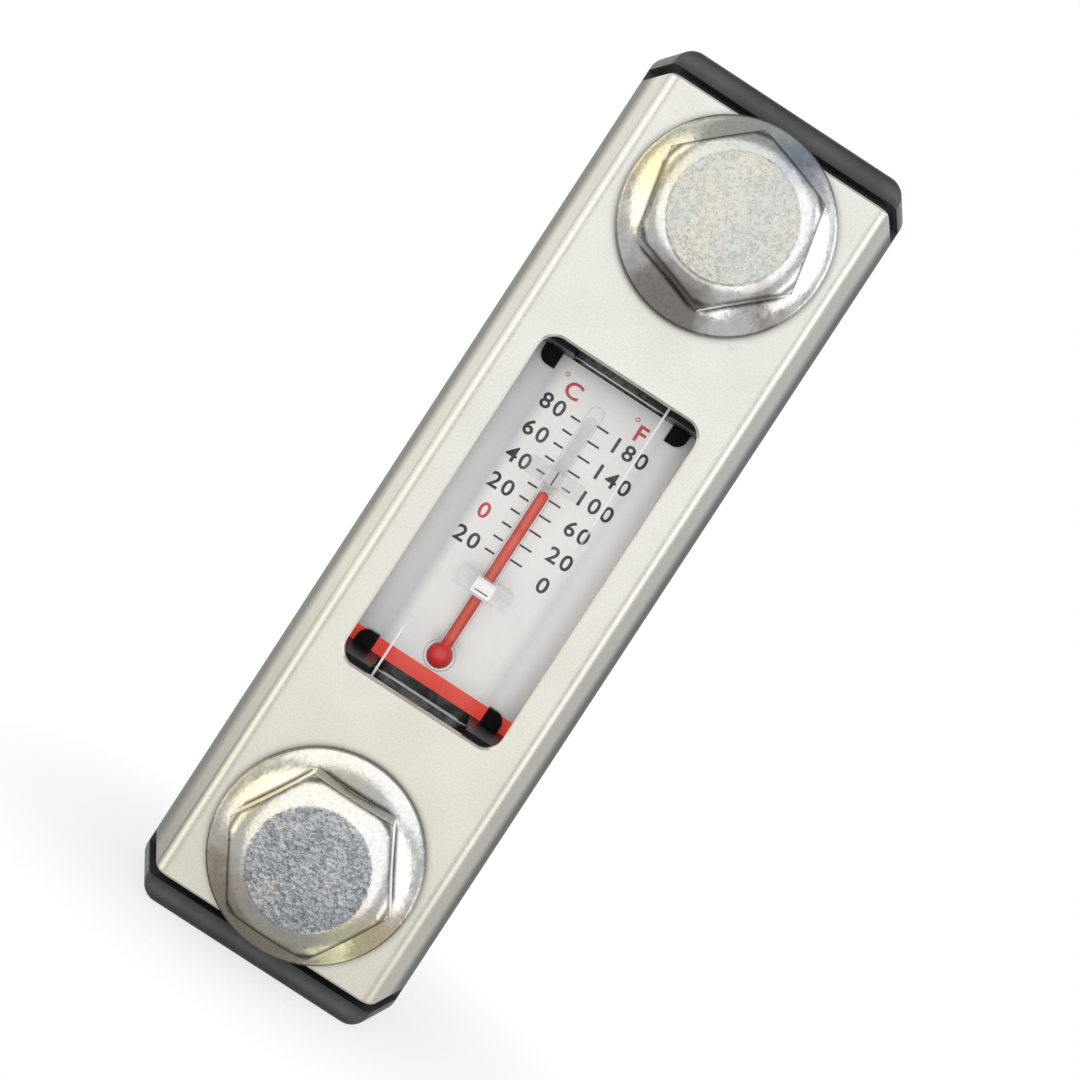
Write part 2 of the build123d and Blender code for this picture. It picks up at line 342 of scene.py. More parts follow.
def cover_shade(finish):
    """Painted shade: darker in creases, towards the tank and at the lower end of the left side."""
    crease_shade = finish.crease_shade(1.2 * MM, 0.30, only_local=False)
    towards_tank = finish.span(finish.axis("Y"), *SIDE_SHADE, 1.0, 0.14)
    on_left = finish.within(finish.axis("X"), *LEFT_SIDE)
    lower_end = finish.span(finish.axis("Z"), *LOWER_END, 0.40, 1.0)
    left_side = finish.larger(lower_end, finish.minus(1.0, on_left))
    return finish.times(crease_shade, towards_tank, left_side)


def black_nylon():
    """Moulded black nylon with a fine mould grain, a painted highlight on each lip and painted shade behind
    the window.
    """
    finish = Finish("black_nylon", (0.03, 0.032, 0.033), 0.42)
    grain = finish.noise(0.3 * MM, 4.0)
    cloud = finish.two_tone(finish.noise(5 * MM, 2.0), (0.040, 0.045, 0.045), (0.062, 0.070, 0.068))
    outside = finish.shaded(cloud, lip_painted_highlight(finish))
    window_shade = behind_window(finish)
    # Painted shade: behind the window the nylon turns almost black and reflects less.
    finish.feed("Base Color", finish.blend(window_shade, outside, (0.008, 0.009, 0.009)))
    finish.feed("Specular IOR Level", finish.span(window_shade, 0.0, 1.0, 0.5, 0.12))
    finish.feed("Roughness", finish.varied(grain, 0.30, 0.46))
    finish.bump(grain, 0.02 * MM, 0.5)
    return finish.material


def lip_painted_highlight(finish):
    """Painted highlight: lightest along the middle of each lip's front, and plain everywhere else."""
    from_middle = finish.away(finish.axis("Z"))
    rise = finish.span(from_middle, *LIP_INNER_EDGE, 0.5, 1.9)
    fall = finish.span(from_middle, *LIP_OUTER_EDGE, 1.9, 0.3)
    on_lip = finish.within(finish.axis("Y"), *LIP_FRONT)
    return finish.plus(finish.times(on_lip, finish.smaller(rise, fall)), finish.minus(1.0, on_lip))


def behind_window(finish):
    """Where the nylon's painted shade goes: one on what shows through the window ahead of the plate, and none
    elsewhere.
    """
    across = finish.within(finish.away(finish.axis("X")), *VIEW_WIDTH)
    along = finish.within(finish.away(finish.axis("Z")), *VIEW_LENGTH)
    ahead = finish.within(finish.axis("Y"), *VIEW_DEPTH)
    return finish.times(across, along, ahead)


def black_rubber():
    """Matt rubber of the sealing rings."""
    finish = Finish("black_rubber", (0.02, 0.02, 0.02), 0.6)
    grain = finish.noise(0.2 * MM)
    finish.feed("Base Color", finish.two_tone(grain, (0.012, 0.012, 0.012), (0.028, 0.028, 0.028)))
    finish.bump(grain, 0.01 * MM, 0.4)
    return finish.material


# ---------------------------------------------------------------- zinc plate of the bolts
HEAD_FLAT = (HEAD_TOP + 0.03 * MM, HEAD_TOP + 0.06 * MM)
HEAD_EDGE_WOBBLE = 0.3 * MM
HEAD_EDGE_BLUR = 0.25 * MM
# The chamfer's painted highlight, and the painted shade along the hexagon's outline and at the flange's rim,
# fall within these.
CHAMFER_EDGE = (7.8 * MM, 8.5 * MM)
HEX_FLAT = 8.5 * MM
HEX_CORNER = 9.25 * MM
OUTLINE_WIDTH = (0.12 * MM, 0.42 * MM)
FLANGE_RIM = (FLANGE_RADIUS - 0.22 * MM, FLANGE_RADIUS - 0.12 * MM)


class Plating(NamedTuple):
    """One bolt's plating. Ring tints, which carry painted reflections, are (clockwise share of a turn from
    the top, colour); the dimples' depth sets their relief and their painted shade.
    """

    name: str
    height: float
    hex_turn: float
    head_radius: float
    head_tints: tuple
    dimple_relief_and_shade: float
    ring_tints_and_reflections: tuple


# Round each flange, the near-white and the dark ring stops are painted reflections laid among the plate's
# tints.
WARM_PLATING = Plating(
    name="warm_zinc_plate",
    height=BOLT_HEIGHT,
    hex_turn=radians(17.6),
    head_radius=6.9 * MM,
    head_tints=((0.70, 0.72, 0.68), (0.75, 0.745, 0.67), (0.79, 0.755, 0.65)),
    dimple_relief_and_shade=0.8,
    ring_tints_and_reflections=(
        (0.000, (0.52, 0.57, 0.60)),
        (0.045, (0.34, 0.40, 0.48)),
        (0.110, (0.94, 0.95, 0.95)),
        (0.310, (0.96, 0.95, 0.93)),
        (0.345, (0.58, 0.55, 0.48)),
        (0.380, (0.98, 0.97, 0.94)),
        (0.430, (0.98, 0.97, 0.94)),
        (0.475, (0.40, 0.37, 0.33)),
        (0.560, (0.42, 0.39, 0.36)),
        (0.620, (0.92, 0.92, 0.90)),
        (0.690, (0.96, 0.93, 0.82)),
        (0.760, (0.94, 0.84, 0.54)),
        (0.830, (0.74, 0.74, 0.62)),
        (0.930, (0.60, 0.63, 0.58)),
    ),
)
COOL_PLATING = Plating(
    name="cool_zinc_plate",
    height=-BOLT_HEIGHT,
    hex_turn=0.0,
    head_radius=6.6 * MM,
    head_tints=((0.48, 0.52, 0.55), (0.57, 0.60, 0.62), (0.65, 0.66, 0.65)),
    dimple_relief_and_shade=1.6,
    ring_tints_and_reflections=(
        (0.000, (1.00, 0.98, 0.92)),
        (0.080, (0.94, 0.94, 0.92)),
        (0.220, (0.96, 0.95, 0.93)),
        (0.290, (0.86, 0.74, 0.50)),
        (0.350, (0.74, 0.72, 0.42)),
        (0.420, (0.40, 0.37, 0.29)),
        (0.560, (0.36, 0.34, 0.27)),
        (0.640, (0.50, 0.43, 0.34)),
        (0.710, (0.90, 0.87, 0.80)),
        (0.780, (0.92, 0.86, 0.66)),
        (0.880, (1.00, 0.97, 0.84)),
    ),
)


def zinc_plate(plating):
    """Bright zinc plate: mottled tints with painted reflections round the bolt, painted shade on the head,
    and a dimpled head top.
    """
    finish = Finish(plating.name, (0.75, 0.74, 0.72), 0.2, 1.0)
    turn, distance = finish.round_bolt(plating.height)
    dimples = finish.noise(0.5 * MM, 3.0, 1.2)
    top = on_head_top(finish, distance, dimples, plating.head_radius)
    ring = ring_tint_and_reflection(finish, turn, distance, plating.ring_tints_and_reflections)
    colour = finish.blend(top, ring, head_colour(finish, dimples, plating))
    finish.feed("Base Color", finish.shaded(colour, head_painted_shade(finish, distance, plating)))
    smudges = finish.varied(finish.noise(1.2 * MM, 4.0), 0.10, 0.26)
    finish.feed("Roughness", finish.plus(smudges, finish.times(top, 0.10)))
    grain = finish.plus(dimples, finish.times(finish.cells(0.6 * MM), 0.7))
    depth = finish.span(top, 0.0, 1.0, 0.12, plating.dimple_relief_and_shade)
    finish.bump(finish.times(grain, depth), 0.16 * MM, 0.6)
    return finish.material


def on_head_top(finish, distance, dimples, radius):
    """One on the head's flat top within an uneven edge, and none elsewhere."""
    flat = finish.within(finish.axis("Y"), *HEAD_FLAT)
    uneven = finish.plus(distance, finish.times(dimples, HEAD_EDGE_WOBBLE))
    return finish.times(flat, finish.within(uneven, radius, radius + HEAD_EDGE_BLUR))


def head_colour(finish, dimples, plating):
    """The head top's own tints, with painted shade in its dimples."""
    low, middle, high = plating.head_tints
    cloud = finish.ramp(finish.noise(5 * MM, 2.0), (0.36, low), (0.50, middle), (0.64, high))
    dark = 1.0 - 0.3 * plating.dimple_relief_and_shade
    return finish.stained(cloud, finish.ramp(dimples, (0.38, (dark, dark, dark)), (0.56, WHITE)))


def ring_tint_and_reflection(finish, turn, distance, tints):
    """Speckled tints mixed with painted reflections that change round the bolt, with a painted highlight on
    the head's chamfer.
    """
    blotches = finish.times(finish.minus(finish.noise(1.6 * MM, 4.0), 0.5), 0.09)
    tint = finish.ramp(finish.maths("FRACT", finish.plus(turn, blotches)), *tints)
    chamfer_highlight = finish.span(distance, *CHAMFER_EDGE, 0.35, 0.0)
    speckle = finish.ramp(finish.noise(0.4 * MM, 4.0), (0.36, (0.88, 0.88, 0.87)), (0.50, WHITE))
    return finish.stained(finish.blend(chamfer_highlight, tint, (0.95, 0.95, 0.91)), speckle)


def head_painted_shade(finish, distance, plating):
    """Painted shade: darker in creases, on the head's walls, along its outline and at the flange's rim."""
    crease_shade = finish.crease_shade(0.9 * MM, 0.06, clear=0.97)
    facing = finish.facing("Y")
    upright = finish.span(facing, 0.12, 0.28, 0.85, 0.22)
    sloping = finish.span(facing, 0.58, 0.76, 0.22, 1.0)
    wall_shade = finish.larger(upright, sloping)
    rim = finish.span(distance, *FLANGE_RIM, 1.0, 0.35)
    past_flat = finish.minus(finish.hexagon(plating.height, plating.hex_turn), HEX_FLAT)
    past_corner = finish.minus(distance, HEX_CORNER)
    from_outline = finish.away(finish.larger(past_flat, past_corner))
    outline = finish.span(from_outline, *OUTLINE_WIDTH, 0.28, 1.0)
    outline = finish.larger(outline, finish.span(facing, 0.15, 0.25, 0.8, 0.0))
    return finish.times(crease_shade, wall_shade, outline, rim)


# ---------------------------------------------------------------- plate, tube and thermometer
# The next four spans place the plate's painted shade beside the tube and its painted light at the rims.
PAST_TUBE = (5.8 * MM, 7.2 * MM)
PLATE_RIMS = (7.0 * MM, 9.6 * MM)
PLATE_FRONT = (PLATE_FACE + 0.1 * MM, PLATE_FACE + 0.3 * MM)
LEFT_HALF = (-1.0 * MM, 1.0 * MM)
BULB_TOP = (-13.8 * MM, -13.2 * MM)
COLLAR_WHITE = (0.97, 0.97, 0.96)
COLLAR_GRIP = (1.1 * MM, 1.3 * MM)
COLLAR_RIMS = (0.80 * MM, 0.95 * MM)
# The collars' painted dark line is drawn with these.
PAINTED_LINE_BLACK = (0.05, 0.05, 0.05)
LINE_WIDTH = (0.05 * MM, 0.12 * MM)
LINE_LENGTH = (0.75 * MM, 0.90 * MM)
LINE_DROP = 0.35 * MM
# The tube's haze at its ends, its painted highlight lines and its painted glints fall within these.
TUBE_FRONT_WALL = (TUBE_FRONT + 1.0 * MM, TUBE_FRONT + 1.3 * MM)
MIST_START = block_low.z + 1.9 * MM
MIST_EDGE = (MIST_START - 0.1 * MM, MIST_START + 0.1 * MM)
END_LINE_WIDTH = (0.04 * MM, 0.10 * MM)
GLINT_X = 5.6 * MM
GLINT_WIDTH = (0.09 * MM, 0.17 * MM)
RIGHT_GLINT = (2.0 * MM, 6.0 * MM)
LEFT_GLINT = (-13.0 * MM, -15.0 * MM)


def silver_plate():
    """The scale plate's satin silver, with painted shade beside the tube and painted light towards its rims.
    """
    finish = Finish("silver_plate", (0.85, 0.85, 0.85), 0.28, 0.6)
    fine = finish.noise(0.4 * MM)
    base = finish.two_tone(fine, (0.97, 0.96, 0.925), (1.0, 0.995, 0.96))
    cloud = finish.two_tone(finish.noise(8 * MM, 2.0), (0.96, 0.96, 0.97), WHITE)
    across = finish.away(finish.axis("X"))
    face = finish.stained(base, cloud, painted_shade_beside_tube(finish, across))
    # Painted light: the face grows lighter towards its rims, where the window's walls darken it.
    rims = finish.span(across, *PLATE_RIMS, 1.0, 1.35)
    finish.feed("Base Color", finish.shaded(face, rims))
    finish.bump(fine, 0.004 * MM, 0.4)
    return finish.material


def painted_shade_beside_tube(finish, across):
    """Painted shade on the plate's face beside the tube: a cool, darker tint, stronger on the left."""
    past_tube = finish.span(across, *PAST_TUBE)
    on_face = finish.within(finish.axis("Y"), *PLATE_FRONT)
    on_left = finish.span(finish.axis("X"), *LEFT_HALF, 1.0, 0.45)
    return finish.blend(finish.times(past_tube, on_face, on_left), WHITE, (0.70, 0.71, 0.74))


def thermometer_glass():
    """Thin clear glass that shows as fine painted dark lines where its walls turn away, in place of its
    reflections there.
    """
    finish = Finish("thermometer_glass_clear", (0.42, 0.43, 0.42), 0.1)
    edge = finish.span(finish.facing("Y"), 0.10, 0.45, 0.55, 0.0)
    smears = finish.span(finish.noise(1.4 * MM, 2.0), 0.4, 0.7, 0.0, 0.03)
    finish.veil(finish.plus(edge, smears))
    return finish.material


def red_liquid():
    """Vivid dyed thermometer liquid with a faint painted glow, deeper in the bulb than in the thin stem."""
    finish = Finish("red_liquid", (0.85, 0.06, 0.04), 0.1)
    stem = finish.two_tone(finish.noise(1.2 * MM, 2.0), (0.66, 0.07, 0.05), (0.78, 0.11, 0.075))
    in_bulb = finish.within(finish.axis("Z"), *BULB_TOP)
    colour = finish.blend(in_bulb, stem, (0.66, 0.004, 0.003))
    finish.feed("Base Color", colour)
    # Painted glow: the liquid gives off a little light of its own colour.
    finish.feed("Emission Color", colour)
    finish.set("Emission Strength", 0.10)
    return finish.material


def collar_plastic(end, frost, upright):
    """Clear collar, frosted where it grips the stem, with one fine painted dark line."""
    finish = Finish(f"{end}_collar_plastic", COLLAR_WHITE, 0.08)
    low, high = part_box(f"{end}_thermometer_collar")
    middle = (low + high) / 2
    across = finish.away(finish.axis("X"), middle.x)
    up = finish.minus(finish.axis("Z"), middle.z)
    line = painted_collar_line(finish, across, up, upright)
    finish.feed("Base Color", finish.blend(line, COLLAR_WHITE, PAINTED_LINE_BLACK))
    grip = finish.span(across, *COLLAR_GRIP, frost, 0.0)
    rims = finish.span(finish.away(up), *COLLAR_RIMS, 0.02, 0.14)
    uneven = finish.span(finish.noise(1.5 * MM, 2.0), 0.4, 0.6, 0.02, 0.12)
    finish.veil(finish.larger(finish.plus(rims, uneven), grip))
    return finish.material


def painted_collar_line(finish, across, up, upright):
    """The fine painted dark line, for the dark that shows through the collar: upright at the collar's middle,
    or level a little below it.
    """
    off_line, along_line = (across, up) if upright else (finish.plus(up, LINE_DROP), across)
    thin = finish.within(finish.away(off_line), *LINE_WIDTH)
    short = finish.within(finish.away(along_line), *LINE_LENGTH)
    return finish.times(thin, short)


def tube_plastic():
    """Clear walls too thin to bend the view: a faint haze, painted highlight lines at the ends and painted
    glints at two corners.
    """
    finish = Finish("clear_tube_plastic", WHITE, 0.1)
    from_middle = finish.away(finish.axis("Z"))
    haze = finish.varied(finish.noise(4 * MM), 0.0, 0.02)
    at_ends = finish.span(from_middle, *MIST_EDGE)
    mist = finish.times(at_ends, finish.span(finish.noise(1.2 * MM), 0.45, 0.65, 0.0, 0.07))
    end_highlights = finish.span(finish.away(from_middle, MIST_START), *END_LINE_WIDTH, 0.35, 0.0)
    right_glint = corner_glint(finish, GLINT_X, *RIGHT_GLINT)
    left_glint = corner_glint(finish, -GLINT_X, *LEFT_GLINT)
    in_front = finish.within(finish.axis("Y"), *TUBE_FRONT_WALL)
    lines = finish.times(finish.plus(end_highlights, finish.plus(right_glint, left_glint)), in_front)
    # The painted highlight lines also glow a little.
    finish.set("Emission Color", (*WHITE, 1.0))
    finish.feed("Emission Strength", finish.times(lines, 0.3))
    finish.veil(finish.plus(haze, finish.plus(mist, lines)), "ShaderNodeBsdfRefraction")
    return finish.material


def corner_glint(finish, x, dark, bright):
    """A painted glint: a thin upright line at this X that fades in from one height to another."""
    line = finish.span(finish.away(finish.axis("X"), x), *GLINT_WIDTH, 0.95, 0.0)
    return finish.times(line, finish.span(finish.axis("Z"), dark, bright))


def dress_nodes():
    """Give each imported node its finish."""
    nylon = black_nylon()
    rubber = black_rubber()
    finishes = {
        "front_cover": anodised_aluminium(),
        "scale_plate": silver_plate(),
        "sight_tube": tube_plastic(),
        "thermometer_glass": thermometer_glass(),
        "thermometer_liquid": red_liquid(),
        "upper_thermometer_collar": collar_plastic("upper", 0.35, upright=True),
        "lower_thermometer_collar": collar_plastic("lower", 0.85, upright=False),
    }
    for end in ("upper", "lower"):
        finishes[f"{end}_end_block"] = nylon
        for seal in ("head_seal", "wall_seal", "tube_seal"):
            finishes[f"{end}_{seal}"] = rubber
    for name, material in finishes.items():
        mesh = nodes[name].data
        mesh.materials.clear()
        mesh.materials.append(material)


# ---------------------------------------------------------------- printed scales
INK_THICKNESS = 0.02 * MM
TICK_WIDTH = 0.24 * MM
NUMBER_TOP = 14.62 * MM
NUMBER_PITCH = 3.57 * MM
NUMBER_HEIGHT = 1.90 * MM
CHARACTER_WEIGHT = 0.018
CHARACTER_BREADTH = 1.08
CHARACTER_PITCH = 1.72 * MM
UNIT_HEIGHT = 2.0 * MM
UNIT_Z = 17.17 * MM
RING_Z = 18.4 * MM
RING_RADIUS = 0.28 * MM
RING_HOLE = 0.62
BAND_TOP = -18.25 * MM
BAND_WIDTH = 2.6 * MM
BAND_MARGIN = 0.3 * MM


class Scale(NamedTuple):
    """One printed scale. Its numbers stand on rows that both scales share."""

    name: str
    tick_top: float
    tick_pitch: float
    tick_count: int
    tick_ends: tuple
    numbers: tuple
    number_x: float
    unit: str
    unit_x: float
    ring_x: float


CELSIUS = Scale(
    name="celsius",
    tick_top=14.62 * MM,
    tick_pitch=1.785 * MM,
    tick_count=11,
    tick_ends=(-2.88 * MM, -1.62 * MM),
    numbers=("80", "60", "40", "20", "0", "20"),
    number_x=-5.28 * MM,
    unit="C",
    unit_x=-4.15 * MM,
    ring_x=-5.73 * MM,
)
FAHRENHEIT = Scale(
    name="fahrenheit",
    tick_top=15.27 * MM,
    tick_pitch=2.003 * MM,
    tick_count=10,
    tick_ends=(0.2 * MM, 1.8 * MM),
    numbers=("180", "140", "100", "60", "20", "0"),
    number_x=4.95 * MM,
    unit="F",
    unit_x=4.96 * MM,
    ring_x=3.72 * MM,
)


def ink(name, dark, light, glow=0.0):
    """Printed ink, a little uneven; the red inks are vivid, with a little painted glow."""
    finish = Finish(name, light, 0.4)
    uneven = finish.noise(0.5 * MM)
    finish.feed("Base Color", finish.two_tone(uneven, dark, light))
    finish.feed("Roughness", finish.varied(uneven, 0.32, 0.45))
    # Painted glow: the red inks give off a little light of their own.
    finish.set("Emission Color", (*light, 1.0))
    finish.set("Emission Strength", glow)
    return finish.material


def piece_from(work, name, material):
    """A finished piece that rides on the gauge, made from a bmesh."""
    mesh = bpy.data.meshes.new(name)
    work.to_mesh(mesh)
    work.free()
    mesh.materials.append(material)
    piece = bpy.data.objects.new(name, mesh)
    bpy.context.scene.collection.objects.link(piece)
    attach(piece, "root")
    return piece


def printed_bar(work, low_x, high_x, low_z, high_z):
    """A flat bar of ink on the plate's face."""
    size = (high_x - low_x, INK_THICKNESS, high_z - low_z)
    middle = ((low_x + high_x) / 2, PLATE_FACE - INK_THICKNESS / 2, (low_z + high_z) / 2)
    place = Matrix.Translation(middle) @ Matrix.Diagonal((*size, 1.0))
    bmesh.ops.create_cube(work, size=1.0, matrix=place)


def tick_marks(scale, material):
    """The scale's row of tick marks."""
    work = bmesh.new()
    for step in range(scale.tick_count):
        z = scale.tick_top - step * scale.tick_pitch
        printed_bar(work, *scale.tick_ends, z - TICK_WIDTH / 2, z + TICK_WIDTH / 2)
    piece_from(work, f"{scale.name}_ticks", material)


def character_mesh(text, height):
    """The mesh of one character, centred, with its height along Z and facing the front."""
    curve = bpy.data.curves.new("character", "FONT")
    curve.body = text
    curve.align_x = "CENTER"
    curve.extrude = 0.5
    curve.offset = CHARACTER_WEIGHT
    holder = bpy.data.objects.new("character", curve)
    bpy.context.scene.collection.objects.link(holder)
    bpy.context.view_layer.update()
    mesh = bpy.data.meshes.new_from_object(holder.evaluated_get(bpy.context.evaluated_depsgraph_get()))
    bpy.data.objects.remove(holder)
    xs = [vertex.co.x for vertex in mesh.vertices]
    ys = [vertex.co.y for vertex in mesh.vertices]
    centre = Vector(((min(xs) + max(xs)) / 2, (min(ys) + max(ys)) / 2, 0.0))
    scale = height / (max(ys) - min(ys))
    upright = Matrix.Rotation(pi / 2, 4, "X")
    size = Matrix.Diagonal((scale * CHARACTER_BREADTH, scale, INK_THICKNESS, 1.0))
    mesh.transform(upright @ size @ Matrix.Translation(-centre))
    return mesh


def print_word(work, text, centre_x, centre_z, height):
    """Characters side by side about a centre, added to a bmesh."""
    first = centre_x - CHARACTER_PITCH * (len(text) - 1) / 2
    for index, letter in enumerate(text):
        mesh = character_mesh(letter, height)
        place = (first + index * CHARACTER_PITCH, PLATE_FACE - INK_THICKNESS / 2, centre_z)
        mesh.transform(Matrix.Translation(place))
        work.from_mesh(mesh)
        bpy.data.meshes.remove(mesh)


def number_column(name, scale, wanted, material):
    """Those of the scale's numbers that are wanted, each on its own row."""
    work = bmesh.new()
    for row, text in enumerate(scale.numbers):
        if wanted(text):
            print_word(work, text, scale.number_x, NUMBER_TOP - row * NUMBER_PITCH, NUMBER_HEIGHT)
    piece_from(work, name, material)


def degree_ring(work, x, z):
    """A small flat ring on the plate's face."""
    outer = bmesh.ops.create_circle(work, segments=24, radius=RING_RADIUS)["verts"]
    edges = list(dict.fromkeys(edge for vert in outer for edge in vert.link_edges))
    inner = added_verts(bmesh.ops.extrude_edge_only(work, edges=edges))
    bmesh.ops.scale(work, vec=(RING_HOLE, RING_HOLE, 1.0), verts=inner)
    faces = list(dict.fromkeys(face for vert in outer for face in vert.link_faces))
    raised = added_verts(bmesh.ops.extrude_face_region(work, geom=faces))
    bmesh.ops.translate(work, vec=(0, 0, INK_THICKNESS), verts=raised)
    place = Matrix.Translation((x, PLATE_FACE, z)) @ Matrix.Rotation(pi / 2, 4, "X")
    bmesh.ops.transform(work, matrix=place, verts=outer + inner + raised)


def added_verts(result):
    """The vertices that an extrusion made."""
    return [item for item in result["geom"] if isinstance(item, bmesh.types.BMVert)]


def unit_mark(scale, material):
    """The scale's unit letter with its small degree ring."""
    work = bmesh.new()
    print_word(work, scale.unit, scale.unit_x, UNIT_Z, UNIT_HEIGHT)
    degree_ring(work, scale.ring_x, RING_Z)
    bmesh.ops.recalc_face_normals(work, faces=work.faces)
    piece_from(work, f"{scale.name}_unit", material)


def minimum_band(material):
    """The band at the foot of the plate that marks the lowest safe level."""
    work = bmesh.new()
    printed_bar(work, plate_low.x + BAND_MARGIN, plate_high.x - BAND_MARGIN, BAND_TOP - BAND_WIDTH, BAND_TOP)
    piece_from(work, "minimum_band", material)


def printed_scales():
    """Both scales, their units and the red band."""
    black = ink("black_ink", (0.03, 0.03, 0.035), (0.07, 0.07, 0.075))
    # The red inks carry a painted glow.
    red = ink("red_ink", (0.78, 0.05, 0.09), (0.90, 0.09, 0.13), 0.12)
    band_red = ink("red_band_ink", (0.92, 0.05, 0.03), (1.0, 0.08, 0.05), 0.30)
    tick_marks(CELSIUS, black)
    tick_marks(FAHRENHEIT, black)
    number_column("celsius_numbers", CELSIUS, lambda text: text != "0", black)
    number_column("celsius_zero", CELSIUS, lambda text: text == "0", red)
    number_column("fahrenheit_numbers", FAHRENHEIT, lambda text: True, black)
    unit_mark(CELSIUS, red)
    unit_mark(FAHRENHEIT, red)
    minimum_band(band_red)


# ---------------------------------------------------------------- bolts
EDGE_ROUND = 0.16 * MM
EDGE_ANGLE = radians(24)
SMOOTH_ANGLE = radians(28)
SAME_POINT = 0.001 * MM
SMOOTHING_STEPS = 2
HEAD_EDGES_END = COVER_FACE - 0.3 * MM
STUD_RADIUS = 5.0 * MM
THREAD_ROOT = 4.2 * MM
THREAD_SUNK = 0.1 * MM
THREAD_PITCH = 1.5 * MM
THREAD_START = 1.0 * MM
THREAD_END = 12.1 * MM
THREAD_STEPS = 36
RUN_OUT_TURNS = 1 / 3
LEAST_RIDGE = 0.02
RIDGE_CREST = 0.07
RIDGE_BASE = 0.44
PLAIN_STUD_END = 0.2 * MM


def merged_copy(name):
    """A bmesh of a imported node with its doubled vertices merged."""
    work = bmesh.new()
    work.from_mesh(nodes[name].data)
    bmesh.ops.remove_doubles(work, verts=work.verts, dist=SAME_POINT)
    return work


def round_head_edges(work):
    """Soften the head's edges so that they catch the light."""
    sharp = [
        edge for edge in work.edges
        if edge.is_manifold and edge.calc_face_angle(0.0) > EDGE_ANGLE
        and max(vert.co.y for vert in edge.verts) < HEAD_EDGES_END
    ]
    bmesh.ops.bevel(
        work, geom=sharp, offset=EDGE_ROUND, offset_type="OFFSET", segments=SMOOTHING_STEPS, profile=0.5,
        affect="EDGES", clamp_overlap=True, material=-1,
    )


def shrink_stud(work, height):
    """Bring the stud in to the thread's root."""
    for vert in work.verts:
        away = Vector((vert.co.x, 0.0, vert.co.z - height))
        if vert.co.y > PLAIN_STUD_END and away.length > THREAD_ROOT:
            away.length = THREAD_ROOT
            vert.co = away + Vector((0.0, vert.co.y, height))


def ridge_section(work, height, turn, fullness):
    """Four corners of the ridge, this far round its right-hand helix."""
    base = THREAD_ROOT - THREAD_SUNK
    crest = base + (STUD_RADIUS - base) * fullness
    along = THREAD_START + THREAD_PITCH * turn / tau
    corners = ((base, -RIDGE_BASE), (crest, -RIDGE_CREST), (crest, RIDGE_CREST), (base, RIDGE_BASE))
    return [
        work.verts.new((radius * cos(turn), along + share * THREAD_PITCH, height - radius * sin(turn)))
        for radius, share in corners
    ]


def wind_thread(work, height):
    """A thread ridge round the stud that runs out at both ends."""
    turns = (THREAD_END - THREAD_START) / THREAD_PITCH
    steps = round(turns * THREAD_STEPS)
    run_out = RUN_OUT_TURNS * THREAD_STEPS
    sections = []
    for step in range(steps + 1):
        fullness = min(1.0, step / run_out, (steps - step) / run_out)
        turn = tau * turns * step / steps
        sections.append(ridge_section(work, height, turn, max(fullness, LEAST_RIDGE)))
    for near, far in zip(sections, sections[1:]):
        for corner in range(4):
            following = (corner + 1) % 4
            work.faces.new((near[corner], near[following], far[following], far[corner]))
    work.faces.new(sections[0])
    work.faces.new(reversed(sections[-1]))


def finished_bolt(end, plating):
    """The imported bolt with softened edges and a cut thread."""
    name = f"{end}_hollow_bolt"
    work = merged_copy(name)
    round_head_edges(work)
    shrink_stud(work, plating.height)
    wind_thread(work, plating.height)
    bmesh.ops.recalc_face_normals(work, faces=work.faces)
    piece = piece_from(work, f"{end}_bolt_finished", zinc_plate(plating))
    for polygon in piece.data.polygons:
        polygon.use_smooth = True
    piece.data.set_sharp_from_angle(angle=SMOOTH_ANGLE)
    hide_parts(name)


# ---------------------------------------------------------------- studio
CAMERA_X = -2.56 * MM
CAMERA_Z = 8.69 * MM
CAMERA_DISTANCE = 229.46 * MM
CAMERA_TILT = (0.0317, 0.0181, 0.0025)
CAMERA_ROLL = radians(33.226)
CAMERA_LENS = 71.83
CAMERA_SENSOR = 36.0
SURROUND = (0.46, 0.46, 0.465)
FLOOR_GAP = 0.02 * MM
FLOOR_RADIUS = 0.6
FLOOR_FADE = (0.02, 0.07)


def camera():
    """A camera in front of the gauge, rolled so that the gauge's top leans to the right."""
    data = bpy.data.cameras.new("camera")
    data.lens = CAMERA_LENS
    data.sensor_width = CAMERA_SENSOR
    data.clip_start = 0.01
    holder = bpy.data.objects.new("camera", data)
    bpy.context.scene.collection.objects.link(holder)
    tilt_x, tilt_y, tilt_z = (
        Matrix.Rotation(angle, 4, axis) for angle, axis in zip(CAMERA_TILT, "XYZ")
    )
    tilt = tilt_z @ tilt_y @ tilt_x
    facing = Matrix.Rotation(pi / 2, 4, "X") @ tilt.transposed() @ Matrix.Rotation(CAMERA_ROLL, 4, "Z")
    place = Matrix.Translation((CAMERA_X, COVER_FACE - CAMERA_DISTANCE, CAMERA_Z))
    holder.matrix_world = place @ facing
    bpy.context.scene.camera = holder


def softbox(name, place, width, height, brightness, colour=WHITE):
    """A soft rectangular lamp aimed at the gauge, whose face has this brightness."""
    lamp = bpy.data.lights.new(name, "AREA")
    lamp.shape = "RECTANGLE"
    lamp.size = width
    lamp.size_y = height
    lamp.energy = brightness * pi * width * height
    lamp.color = colour
    holder = bpy.data.objects.new(name, lamp)
    holder.visible_camera = False
    bpy.context.scene.collection.objects.link(holder)
    aim = Vector((0.0, COVER_FACE, 0.0)) - Vector(place)
    holder.matrix_world = Matrix.Translation(place) @ aim.to_track_quat("-Z", "Y").to_matrix().to_4x4()


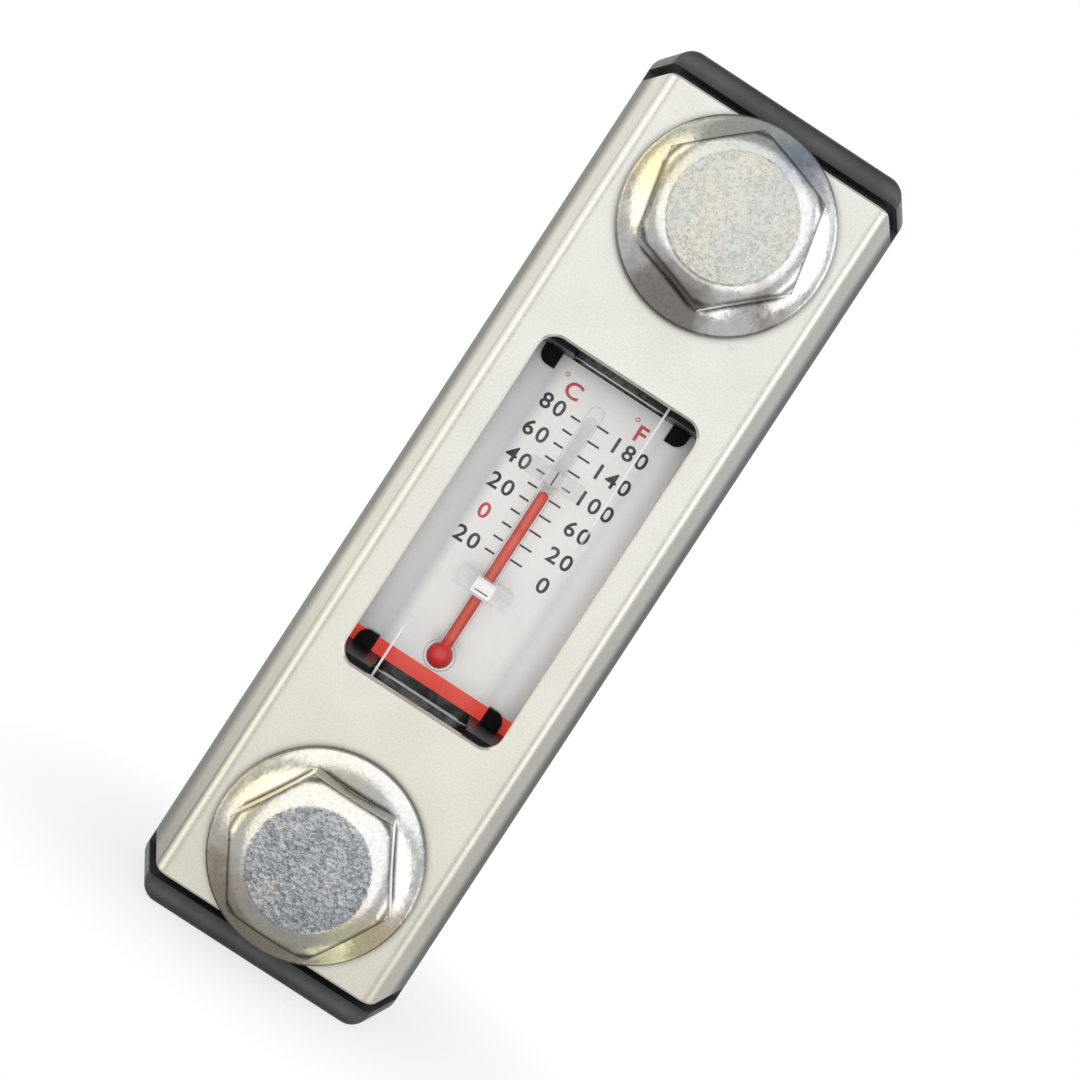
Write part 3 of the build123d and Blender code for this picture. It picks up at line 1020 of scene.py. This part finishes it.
def lamps():
    """A wide soft lamp in front, tall ones at the sides, and weaker ones below and behind."""
    softbox("front_lamp", (0.0, -0.75, 0.22), 1.3, 1.1, 0.57)
    softbox("right_lamp", (0.46, -0.14, 0.12), 0.30, 0.62, 0.95)
    softbox("left_lamp", (-0.46, -0.15, 0.08), 0.28, 0.66, 0.90, (1.0, 0.95, 0.84))
    softbox("low_lamp", (0.26, -0.15, -0.42), 0.24, 0.16, 0.8)
    softbox("back_lamp", (0.1, 0.5, 0.35), 0.5, 0.4, 0.5)
    softbox("left_rear_lamp", (-0.30, 0.62, 0.0), 0.40, 0.70, 0.42, (1.0, 0.95, 0.82))
    softbox("left_side_lamp", (-0.62, 0.14, 0.0), 0.36, 0.60, 0.42, (1.0, 0.96, 0.86))


def world():
    """White to the camera, and an even pale surround for light and reflections."""
    surround = bpy.data.worlds.new("surround")
    surround.use_nodes = True
    bpy.context.scene.world = surround
    tree = surround.node_tree
    tree.nodes.clear()
    path = tree.nodes.new("ShaderNodeLightPath")
    seen = tree.nodes.new("ShaderNodeBackground")
    seen.inputs["Color"].default_value = (*WHITE, 1.0)
    lit = tree.nodes.new("ShaderNodeBackground")
    lit.inputs["Color"].default_value = (*SURROUND, 1.0)
    mixed = tree.nodes.new("ShaderNodeMixShader")
    output = tree.nodes.new("ShaderNodeOutputWorld")
    tree.links.new(path.outputs["Is Camera Ray"], mixed.inputs[0])
    tree.links.new(lit.outputs[0], mixed.inputs[1])
    tree.links.new(seen.outputs[0], mixed.inputs[2])
    tree.links.new(mixed.outputs[0], output.inputs["Surface"])


def floor_paint():
    """Pale matt paint that thins out into the white surround away from the gauge."""
    finish = Finish("floor_paint", (0.93, 0.93, 0.93), 0.7)
    clear = finish.node("ShaderNodeBsdfTransparent")
    reach = finish.node("ShaderNodeVectorMath", operation="LENGTH")
    finish.link(finish.place, reach.inputs[0])
    fade = finish.span(reach.outputs["Value"], *FLOOR_FADE)
    finish.surface(finish.mixed(fade, finish.shader, clear))
    return finish.material


def floor():
    """A pale round floor just under the gauge."""
    work = bmesh.new()
    place = Matrix.Translation((0, 0, cad_low.z - FLOOR_GAP))
    bmesh.ops.create_circle(work, cap_ends=True, segments=96, radius=FLOOR_RADIUS, matrix=place)
    mesh = bpy.data.meshes.new("floor")
    work.to_mesh(mesh)
    work.free()
    mesh.materials.append(floor_paint())
    ground = bpy.data.objects.new("floor", mesh)
    bpy.context.scene.collection.objects.link(ground)


dress_nodes()
printed_scales()
finished_bolt("upper", WARM_PLATING)
finished_bolt("lower", COOL_PLATING)
camera()
lamps()
world()
floor()
bpy.context.scene.view_settings.view_transform = "Standard"
